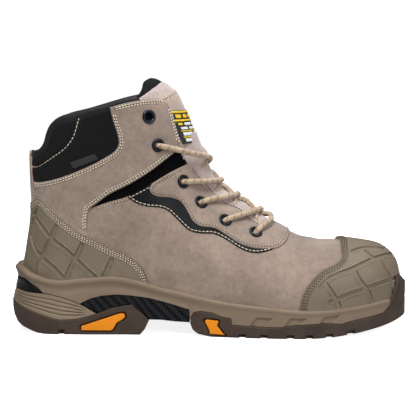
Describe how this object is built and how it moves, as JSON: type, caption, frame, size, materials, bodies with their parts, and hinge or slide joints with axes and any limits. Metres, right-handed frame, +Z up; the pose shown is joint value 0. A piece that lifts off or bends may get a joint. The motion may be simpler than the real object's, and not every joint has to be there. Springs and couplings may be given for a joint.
{
  "type": "steel toe work boot",
  "caption": "Mid-height lace-up leather work boot with steel toe cap, moulded toe and heel guards, padded collar and treaded sole.",
  "frame": {"origin": "on the ground under the rearmost point of the heel, on the centre plane of the boot", "axes": "+X from heel to toe, +Y to the medial (inner) side of a right boot, +Z up"},
  "size_m": [0.3155, 0.1088, 0.1974],
  "materials": {
    "outsole_rubber": "matt moulded rubber",
    "insert_rubber": "satin moulded rubber",
    "midsole_foam": "matt polyurethane foam skin",
    "heel_wedge_rubber": "matt moulded rubber",
    "shank_composite": "satin woven composite",
    "black_moulding": "satin moulded plastic",
    "plate_steel": "rolled",
    "board_fibre": "matt needled fibre",
    "footbed_fabric": "matt felt",
    "cap_steel": "dip coated",
    "strip_rubber": "matt",
    "guard_rubber": "matt moulded rubber",
    "nubuck": "buffed nubuck",
    "trim_black": "coated stretch fabric",
    "counter_fibre": "matt",
    "lining_mesh": "knitted mesh",
    "eyelet_metal": "gunmetal lacquer",
    "lace_cord": "braided cord",
    "softshell": "fine weave softshell",
    "foam": "open cell foam",
    "label_cloth": "woven label",
    "tongue_nubuck": "buffed nubuck"
  },
  "bodies": {
    "lower": {"outsole": "outsole_rubber", "heel_tread_insert_lateral": "insert_rubber", "heel_tread_insert_medial": "insert_rubber", "forefoot_tread_insert_lateral": "insert_rubber", "forefoot_tread_insert_medial": "insert_rubber", "midsole": "midsole_foam", "heel_wedge": "heel_wedge_rubber", "arch_shank": "shank_composite", "heel_stabiliser": "black_moulding", "puncture_plate": "plate_steel", "insole_board": "board_fibre", "steel_toe_cap": "cap_steel", "toe_cap_edge_strip": "strip_rubber", "toe_guard": "guard_rubber", "vamp": "nubuck", "quarter_lateral": "nubuck", "quarter_medial": "nubuck", "wave_trim_lateral": "trim_black", "wave_trim_medial": "trim_black", "eyestay_lateral": "nubuck", "eyestay_medial": "nubuck", "heel_guard": "guard_rubber", "heel_counter": "counter_fibre", "lower_lining": "lining_mesh", "lower_eyelets": "eyelet_metal", "lace": "lace_cord", "lace_ankle_run": "lace_cord", "ankle_gusset_lateral": "trim_black", "ankle_gusset_medial": "trim_black", "heel_fold_lateral": "nubuck", "heel_fold_medial": "nubuck", "lining_fold": "lining_mesh", "tongue_fold": "tongue_nubuck", "tongue_base_shell": "tongue_nubuck", "tongue_base_foam": "foam", "tongue_base_lining": "lining_mesh"},
    "shaft": {"ankle_panel_lateral": "nubuck", "ankle_panel_medial": "nubuck", "collar_panel_lateral": "softshell", "collar_panel_medial": "softshell", "collar_foam": "foam", "collar_binding": "softshell", "shaft_lining": "lining_mesh", "upper_eyelets": "eyelet_metal", "backstay": "nubuck", "side_label": "label_cloth", "tongue_neck_shell": "tongue_nubuck", "tongue_neck_foam": "foam", "tongue_neck_lining": "lining_mesh", "tongue_label": "label_cloth"},
    "tongue_tip": {"tongue_tip_shell": "tongue_nubuck", "tongue_tip_foam": "foam", "tongue_tip_lining": "lining_mesh"},
    "footbed": {"footbed": "footbed_fabric"}
  },
  "joints": [
    {"name": "ankle_flex", "type": "hinge", "parent": "lower", "child": "shaft", "pos_m": [0.066, 0, 0.096], "axis": [0, 1, 0], "range_deg": [-5, 8], "stiffness_Nm_per_rad": 2, "deforming": ["ankle_gusset_lateral", "ankle_gusset_medial", "heel_fold_lateral", "heel_fold_medial", "lining_fold", "tongue_fold", "lace_ankle_run"]},
    {"name": "tongue_tip_fold", "type": "hinge", "parent": "shaft", "child": "tongue_tip", "pos_m": [0.1375, 0, 0.181], "axis": [0, 1, 0], "range_deg": [0, 20], "stiffness_Nm_per_rad": 0.05},
    {"name": "footbed_lift", "type": "hinge", "parent": "lower", "child": "footbed", "pos_m": [0.305, 0, 0.0313], "axis": [0, 1, 0], "range_deg": [0, 3]}
  ]
}
